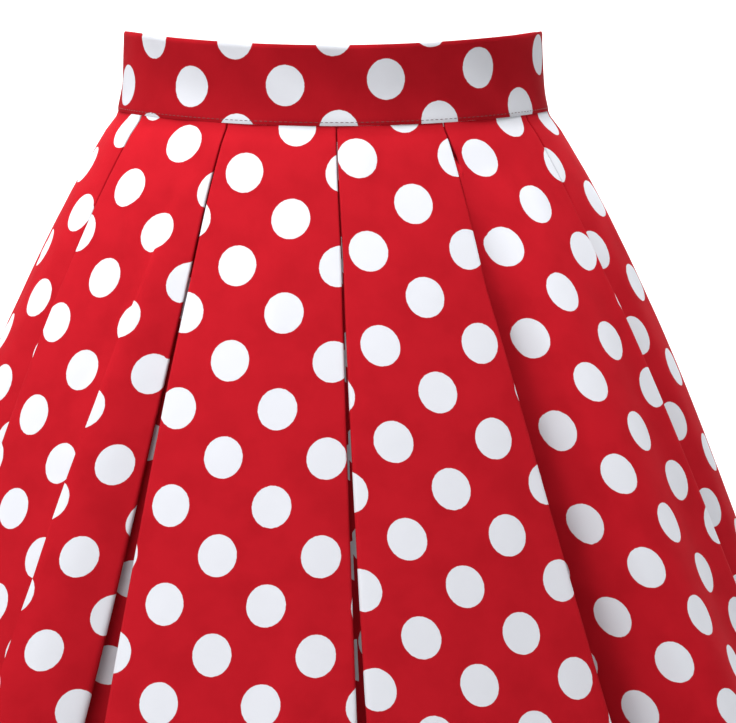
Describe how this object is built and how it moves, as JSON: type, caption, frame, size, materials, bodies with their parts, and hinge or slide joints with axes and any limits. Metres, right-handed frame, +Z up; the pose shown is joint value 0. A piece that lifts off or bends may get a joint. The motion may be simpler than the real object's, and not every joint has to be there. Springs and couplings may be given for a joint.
{
  "type": "pleated skirt",
  "caption": "Knee-length full skirt of printed cotton with inverted pleats under a fitted waistband and a concealed zip at the centre back.",
  "frame": {"origin": "centre of the waistband, where the wearer's waist holds the skirt, halfway up the band at its sides", "axes": "+Z up, -Y out of the front, +X to the wearer's left"},
  "size_m": [0.7623, 0.6038, 0.66],
  "materials": {
    "printed_cotton": "matte",
    "zip_tape": "matte",
    "enamelled_metal": "satin"
  },
  "bodies": {
    "skirt": {"waistband_front": "printed_cotton", "waistband_back_left": "printed_cotton", "waistband_back_right": "printed_cotton", "skirt_front": "printed_cotton", "skirt_back_left": "printed_cotton", "skirt_back_right": "printed_cotton", "zip_tape_left": "zip_tape", "zip_tape_right": "zip_tape", "zip_slider": "enamelled_metal"},
    "pull": {"zip_pull": "enamelled_metal"}
  },
  "joints": [
    {"name": "pull_swing", "type": "hinge", "parent": "skirt", "child": "pull", "pos_m": [0, 0.09445, 0.006], "axis": [1, 0, 0], "range_deg": [0, 150]}
  ]
}
